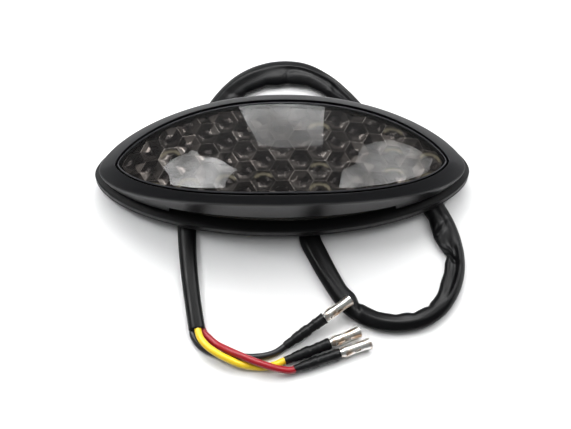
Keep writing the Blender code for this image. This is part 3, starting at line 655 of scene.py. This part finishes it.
# %% Sleeve surface
def side_and_up(line):
    """Unit side and up directions along a line that lies nearly flat: side = along x up."""
    along = np.gradient(line, axis=0)
    along /= np.linalg.norm(along, axis=1, keepdims=True)
    side = np.cross(along, [0, 0, 1.0])
    side /= np.linalg.norm(side, axis=1, keepdims=True)
    return along, side, np.cross(side, along)


def bump_at(run, centre, width):
    """A soft bell: exp(-((run - centre) / width) squared)."""
    return np.exp(-(((run - centre) / width) ** 2))


along, side, up = side_and_up(sleeve_line)
WIDTHS = [(0, 5.0), (8, 6.0), (22, 8.2), (34, 8.0), (50, 7.2), (70, 7.2), (88, 7.1), (100, 7.3), (112, 7.8),
          (126, 9.0), (160, 7.0), (185, 7.2), (205, 8.0), (218, 8.8), (235, 8.7), (250, 8.0), (275, 7.4),
          (300, 7.2), (312, 6.6), (330, 6.1), (345, 6.4)]
width = np.interp(sleeve_run, *zip(*WIDTHS))
width = np.convolve(np.pad(width, 8, mode="edge"), np.ones(17) / 17, mode="valid")
tall = np.interp(sleeve_run, [0, 10, 24, 400], [5.0, 5.0, 4.6, 4.6])
phi = np.linspace(0, 2 * np.pi, 64, endpoint=False)
s, f = np.meshgrid(sleeve_run, phi, indexing="ij")
across = np.sign(np.cos(f)) * np.abs(np.cos(f)) ** 0.86
height = np.sin(f)
inner = np.clip(-np.cos(f), 0, 1) ** 0.7

# Pinches are (run, depth, width) along the inner edge; a negative depth is a swelling between two of them.
PINCHES = [(52.5, -0.8, 3.0), (57.5, 0.7, 1.3), (66, 0.15, 1.4), (74, 0.35, 1.7), (78, -0.2, 2.0),
           (81.5, 0.5, 1.4), (89, 0.6, 1.3), (102, -0.6, 4.0), (114.0, 1.3, 2.2), (123, -0.9, 5.0),
           (131, 0.4, 1.6),
           (190, 0.5, 1.8), (206, 0.25, 1.5), (216.5, 0.45, 1.5), (217, -1.6, 15.0), (221, -0.2, 1.6),
           (226, 0.4, 1.4), (236, 0.35, 1.5), (259, 0.3, 1.8)]
pinch = sum(-depth * bump_at(s, run, wide) for run, depth, wide in PINCHES) * inner

# Ridges are (from, to, place across from -1 inside to 1 outside, height, width). Low ones are hollows.
RIDGES = [(28, 54, 0.40, 0.45, 0.26), (28, 52, -0.14, -0.35, 0.30), (58, 92, 0.10, 0.35, 0.34),
          (96, 124, 0.58, 0.75, 0.26), (99, 108, -0.22, -1.3, 0.34), (111, 118, -0.05, -1.6, 0.34),
          (122, 150, 0.10, -0.35, 0.25), (150, 196, -0.34, 0.45, 0.16), (150, 194, 0.05, -0.55, 0.20),
          (152, 200, 0.44, 0.40, 0.16), (192, 216, 0.38, 0.50, 0.18), (196, 216, 0.05, -0.45, 0.22),
          (214, 250, -0.10, -0.30, 0.32),
          (228, 262, 0.40, 0.40, 0.26), (262, 300, 0.12, -0.20, 0.30)]
lift = 0 * s
for begin, end, place, rise, wide in RIDGES:
    fade = 1 / (1 + np.exp(-(s - begin) / 2.0)) / (1 + np.exp((s - end) / 2.0))
    wander = place + 0.10 * np.sin(s / 6.5 + begin)
    lift = lift + rise * fade * np.exp(-(((across - wander) / wide) ** 2)) * (np.sin(f) > 0)

# Folds run at a slant over the top, from the pinches outwards.
FOLDS = [(57, 0.6, 2.4), (114, 1.1, -4.0), (124, 0.5, 3.0), (193, 0.35, 4.5), (217, 0.20, -3.0),
         (240, 0.15, 2.5)]
inward = np.clip(0.75 - across, 0, 1) * (np.sin(f) > 0)
for run, depth, slope in FOLDS:
    lean = s - run - slope * (across + 0.6)
    lift = lift - depth * np.exp(-((lean / 1.1) ** 2)) * inward
    lift = lift + 0.5 * depth * np.exp(-(((lean - 2.2) / 1.3) ** 2)) * inward
soft = 0.10 * np.sin(s / 7.3 + f) * np.interp(sleeve_run, [0, 14, 26, 290, 310], [0, 0, 1, 1, 0.2])[:, None]
reach_side = (width / 2)[:, None] * across * (1 + soft * 0.2) - pinch
reach_up = (tall / 2)[:, None] * height * (1 + soft) + lift
tube = sleeve_line[:, None, :] + reach_side[..., None] * side[:, None] + reach_up[..., None] * up[:, None]
ceiling = np.where(sleeve_run > 24, -0.25, 99.0)[:, None]
tube[..., 2] = np.clip(tube[..., 2], -5.18, ceiling)
mouth = tube[-1]
middle = mouth.mean(axis=0)
back_in = [middle + (mouth - middle) * k - along[-1] * d
           for k, d in ((0.93, -0.25), (0.80, -0.15), (0.76, 0.6), (0.74, 4.0), (0.70, 8.0))]
sleeve = ring_skin("soft_sleeve", np.concatenate([tube, np.stack(back_in)]), SLEEVE_VINYL)
sleeve.data.set_sharp_from_angle(angle=math.radians(75))
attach(sleeve, "root")
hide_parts("cable_sleeve")

# %% [markdown]
# ## Wires
#
# Three insulated wires, 2.6 mm thick, leave the sleeve together, cross each other and part again.


# %% Round tubes
def round_tube(name, line, radius, finish, count=24):
    """A circle carried along a line, its radius one number or one for each point, flat on the table."""
    along, side, up = side_and_up(line)
    radius = np.broadcast_to(radius, len(line))[:, None, None]
    t = np.linspace(0, 2 * np.pi, count, endpoint=False)[None, :, None]
    rings = line[:, None] + radius * (np.cos(t) * side[:, None] + np.sin(t) * up[:, None])
    rings[..., 2] = np.maximum(rings[..., 2], -5.18)
    return ring_skin(name, rings, finish)


wires, wire_lines = {}, {}
for colour, route in WIRE_ROUTES.items():
    start, tip = (np.array(p) for p in TERMINALS[colour])
    axis = (tip - start) / np.linalg.norm(tip - start)
    line, run = smooth_route(route + [tuple(start + axis * 1.5), tuple(start + axis * 5.0)], 0.5)
    wires[colour] = round_tube(f"lead_{colour}", line, 1.35, WIRE_PVC[colour])
    wire_lines[colour] = (line, float(run[-1]))
    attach(wires[colour], "root")
    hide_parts(f"wire_{colour}")
    print(colour, "wire is", round(float(run[-1]), 1), "mm long")

# %% [markdown]
# ## Shrink tube and bullet terminals
#
# Shrink tube follows what is under it: it is narrow on the wire, swells over the crimp and hugs the
# barrel. The terminal is strip rolled to a barrel, so a seam runs along it, windows let its
# spring fingers move, and its mouth is flared.


# %% Shrink tubes
def straight_frame(colour):
    """Start, unit axis, side and up of a terminal."""
    start, tip = (np.array(p) for p in TERMINALS[colour])
    axis = (tip - start) / np.linalg.norm(tip - start)
    side = np.cross(axis, [0, 0, 1.0])
    side /= np.linalg.norm(side)
    return start, axis, side, np.cross(side, axis)


def swept(colour, distances, radii, name, finish, count=36, squash=1.0):
    """Circles of these radii at these distances along the terminal's axis."""
    start, axis, side, up = straight_frame(colour)
    t = np.linspace(0, 2 * np.pi, count, endpoint=False)[None, :, None]
    middle = start + np.asarray(distances)[:, None] * axis
    radii = np.asarray(radii)[:, None, None]
    rings = middle[:, None] + radii * (np.cos(t) * side + squash * np.sin(t) * up)
    return ring_skin(name, rings, finish)


shrinks = {}
for colour, wobble in (("black", 0.4), ("yellow", 1.7), ("red", 3.1)):
    d = np.linspace(-0.6, 17.5, 60)
    radius = np.interp(d, [-0.6, 1.0, 4.0, 6.0, 9.0, 11.0, 13.5, 15.5, 17.5],
                       [1.45, 1.60, 1.85, 2.05, 2.15, 1.90, 2.05, 2.20, 2.12])
    radius = np.convolve(np.pad(radius, 3, mode="edge"), np.ones(7) / 7, mode="valid")
    radius += 0.09 * np.sin(d * 1.5 + wobble) + 0.05 * np.sin(d * 3.3 + 2 * wobble)
    d_in = np.array([17.55, 17.4, 12.0])
    shrinks[colour] = swept(colour, np.concatenate([d, d_in]), np.concatenate([radius, [1.85, 1.62, 1.6]]),
                            f"shrink_tube_{colour}", SHRINK_TUBE)
    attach(shrinks[colour], "root")
    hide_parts(f"heat_shrink_{colour}")


# %% Bullet terminals
def barrel(colour):
    """A rolled tube: an outer and an inner skin, cut at the seam and the windows, then laid on its axis.

    It is made along x with the seam towards y and the windows towards z.
    """
    start, axis, side, up = straight_frame(colour)
    d = np.linspace(15.8, 29.0, 60)
    radius = np.interp(d, [15.8, 17.4, 18.2, 19.0, 20.6, 21.6, 26.0, 27.4, 28.4, 29.0],
                       [1.35, 1.50, 1.75, 2.12, 2.16, 1.96, 1.96, 2.02, 2.18, 2.26])
    radius = np.convolve(np.pad(radius, 2, mode="edge"), np.ones(5) / 5, mode="valid")
    t = np.linspace(0, 2 * np.pi, 56, endpoint=False)
    slant = 0.8 * np.clip((d - 26.5) / 2.8, 0, 1)[:, None] * np.cos(t - math.radians(60))
    skins = [np.stack([d[:, None] + slant, r[:, None] * np.cos(t), r[:, None] * np.sin(t)], axis=2)
             for r in (radius, radius - 0.34)]
    both = np.concatenate([skins[0], skins[1][::-1]])
    made = ring_skin(f"bullet_barrel_{colour}", both, TINNED, closed=True)
    carve(made, [
        prism([[15.0, -0.20], [31.0, -0.20], [31.0, 0.20], [15.0, 0.20]], 0.5, 4.0, 1),
        prism([[22.8, -0.50], [25.2, -0.50], [25.2, 0.50], [22.8, 0.50]], 0.5, 4.0, 2),
        prism([[19.4, -0.55], [20.0, -0.55], [20.0, 0.55], [19.4, 0.55]], 0.5, 4.0, 2),
    ])
    seam, open_side = (math.cos(a) * side + math.sin(a) * up for a in (math.radians(130), math.radians(40)))
    turn = Matrix((axis, seam, open_side)).transposed().to_4x4()
    made.data.transform(Matrix.Translation(Vector(start) * MM) @ turn)
    return made


barrels = {}
for colour in TERMINALS:
    barrels[colour] = barrel(colour)
    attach(barrels[colour], "root")
    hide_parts(f"bullet_terminal_{colour}")

# %% [markdown]
# ## Where the cords start and end
#
# The sleeve starts in the grommet and ends open. Each wire starts inside it and ends in its terminal.

# %% [markdown]
# ## Camera
#
# The camera stands well back and high in front of the lamp, on a long lens, as a product shot does.

# %% Camera
camera_data = bpy.data.cameras.new("camera")
camera_data.sensor_width, camera_data.lens = 36.0, 133.2
camera_data.clip_start, camera_data.clip_end = 0.05, 20.0
camera = bpy.data.objects.new("camera", camera_data)
bpy.context.scene.collection.objects.link(camera)
right = Vector((0.99995186, -0.00922052, -0.00335599))
top = Vector((0.00981227, 0.93964738, 0.34200368))
back = Vector((0.0, -0.34202014, 0.93969262))
eye_point = Vector((1.1106, -289.095, 751.754)) * MM
camera.matrix_world = Matrix.Translation(eye_point) @ Matrix((right, top, back)).transposed().to_4x4()
bpy.context.scene.camera = camera

# %% [markdown]
# ## Floor and light
#
# The lamp lies on a white table. A wide soft light overhead keeps the shadows pale and close.
# The room is brighter behind the lamp than in front of it, which is why the back of the bezel shines
# and its front face stays dark.

# %% Table
TABLE = -5.2
table_mesh = bpy.data.meshes.new("table_top")
table_mesh.from_pydata([(-4, -4, TABLE * MM), (4, -4, TABLE * MM), (4, 4, TABLE * MM), (-4, 4, TABLE * MM)],
                       [], [(0, 1, 2, 3)])
TABLE_WHITE, table_tree, table_shader = new_finish("white_table", "#dcdcdc", 0.9, Specular_IOR_Level=0.1)
table_mesh.materials.append(TABLE_WHITE)
table_top = bpy.data.objects.new("table_top", table_mesh)
bpy.context.scene.collection.objects.link(table_top)

# %% Room light
world = bpy.data.worlds.new("studio")
world.use_nodes = True
bpy.context.scene.world = world
world_tree = world.node_tree
direction = add_node(world_tree, "ShaderNodeTexCoord").outputs["Generated"]
parts = add_node(world_tree, "ShaderNodeSeparateXYZ", {}, {}, {"Vector": direction})
behind = add_node(world_tree, "ShaderNodeMapRange", {"interpolation_type": "SMOOTHSTEP"},
                  {"From Min": -0.35, "From Max": 0.75, "To Min": 0.20, "To Max": 1.05},
                  {"Value": parts.outputs["Y"]})
aside = add_node(world_tree, "ShaderNodeMath", {"operation": "ABSOLUTE"}, {}, {0: parts.outputs["X"]})
sides = add_node(world_tree, "ShaderNodeMapRange", {"interpolation_type": "SMOOTHSTEP"},
                 {"From Min": 0.2, "From Max": 0.8, "To Min": 1.0, "To Max": 0.64},
                 {"Value": aside.outputs[0]})
room = add_node(world_tree, "ShaderNodeMath", {"operation": "MULTIPLY"}, {},
                {0: behind.outputs[0], 1: sides.outputs[0]})
world_tree.links.new(room.outputs[0], world_tree.nodes["Background"].inputs["Strength"])
world_tree.nodes["Background"].inputs["Color"].default_value = (0.96, 0.98, 1.0, 1)


# %% Soft boxes
def soft_box(name, place, aim_at, width, depth, watts):
    """A rectangular area light at a place, turned to face a point, in metres and watts."""
    data = bpy.data.lights.new(name, "AREA")
    data.shape, data.size, data.size_y, data.energy = "RECTANGLE", width, depth, watts
    made = bpy.data.objects.new(name, data)
    bpy.context.scene.collection.objects.link(made)
    made.location = place
    made.rotation_mode = "QUATERNION"
    made.rotation_quaternion = (Vector(aim_at) - Vector(place)).to_track_quat("-Z", "Y")
    return made


for box_name, place, width, depth, watts in (("from_behind", (-0.1, 1.3, 1.1), 2.2, 1.5, 31),
                                             ("overhead", (0.0, 0.1, 1.5), 1.6, 1.2, 8)):
    soft_box(box_name, place, (0, 0, 0), width, depth, watts).visible_glossy = False

# %% [markdown]
# ## Cards that the lens mirrors
#
# A glossy lens shows its studio. Each card is worked out backwards: the corners of its
# reflection are chosen on the lens, the sight line to each corner is mirrored there, and the card's
# corner is put out along the mirrored line.


# %% Reflected cards
def mirrored_card(name, corners_mm, distance, strength, near=1.0, far=1.0, patchy=0.22):
    """Reflects the camera's line to each (x, y) on the lens, r = d - 2 (d.n) n, out to a distance."""
    spots = np.array(corners_mm, float)
    x, y = spots[:, 0], spots[:, 1]
    z = arch(0.1)(x) + 1.5 * (1 - (x / 61) ** 2 - (y / 17.6) ** 2)
    normal = np.stack([0.0082 * x + 3.0 * x / 61**2, 3.0 * y / 17.6**2, 1 + 0 * x], axis=1)
    normal /= np.linalg.norm(normal, axis=1, keepdims=True)
    points = np.stack([x, y, z], axis=1)
    sight = points - np.array(eye_point) / MM
    sight /= np.linalg.norm(sight, axis=1, keepdims=True)
    out = sight - 2 * np.sum(sight * normal, axis=1, keepdims=True) * normal
    card_points = points + out * distance
    faces = [[k, (k + 1) % len(spots), len(spots)] for k in range(len(spots))]
    middle = card_points.mean(axis=0)
    card = new_mesh(name, np.concatenate([card_points, [middle]]), faces, RUBBER)
    glow = bpy.data.materials.new(name)
    glow.use_nodes = True
    glow.node_tree.nodes.clear()
    place = add_node(glow.node_tree, "ShaderNodeTexCoord").outputs["Object"]
    cloth = add_node(glow.node_tree, "ShaderNodeTexNoise", {}, {"Scale": 5.5, "Detail": 1.0},
                     {"Vector": place})
    uneven = add_node(glow.node_tree, "ShaderNodeMapRange", {}, {"From Min": 0.35, "From Max": 0.65,
                      "To Min": (1 - patchy) * strength, "To Max": (1 + patchy) * strength},
                      {"Value": cloth.outputs[0]})
    ahead = add_node(glow.node_tree, "ShaderNodeSeparateXYZ", {}, {}, {"Vector": place}).outputs["Y"]
    reach = card_points[:, 1] * MM
    fade = add_node(glow.node_tree, "ShaderNodeMapRange", {},
                    {"From Min": reach.min(), "From Max": reach.max(), "To Min": near, "To Max": far},
                    {"Value": ahead})
    level_of = add_node(glow.node_tree, "ShaderNodeMath", {"operation": "MULTIPLY"}, {},
                        {0: uneven.outputs[0], 1: fade.outputs[0]})
    lamp = add_node(glow.node_tree, "ShaderNodeEmission", {}, {}, {"Strength": level_of.outputs[0]})
    ends = add_node(glow.node_tree, "ShaderNodeOutputMaterial", {}, {}, {"Surface": lamp.outputs[0]})
    card.data.materials[0] = glow
    print(name, "is centred at", [round(float(v)) for v in middle], "mm")
    return card


CARD_DISTANCE = 900.0
TOP_PATCH = [
    (-15.5, 16.5), (16.0, 16.0), (15.0, 0.5), (1.0, -1.0), (-8.5, 0.5), (-13.0, 9.5),
]
LEFT_PATCH = [
    (-44.0, -5.5), (-39.5, -2.5), (-36.0, -2.0), (-33.0, 1.0), (-30.0, -3.0), (-24.0, -4.0), (-16.5, -8.5),
    (-20.0, -11.0), (-21.5, -15.0), (-31.5, -14.0), (-41.5, -13.5), (-42.0, -8.5),
]
RIGHT_PATCH = [
    (21.0, -15.5), (22.5, -8.5), (27.0, -6.5), (30.0, 2.0), (40.0, 5.5), (50.5, 4.0), (56.5, -1.0),
    (55.0, -6.0), (50.5, -10.0), (34.5, -15.0),
]
mirrored_card("card_top", TOP_PATCH, CARD_DISTANCE, 7.0, near=0.6, far=2.3)
mirrored_card("card_left", LEFT_PATCH, CARD_DISTANCE, 15.0, patchy=0.45)
mirrored_card("card_right", RIGHT_PATCH, CARD_DISTANCE, 8.8, near=1.2, far=0.75, patchy=0.35)

bpy.context.scene.view_settings.view_transform = "Standard"
bpy.context.scene.view_settings.look = "None"
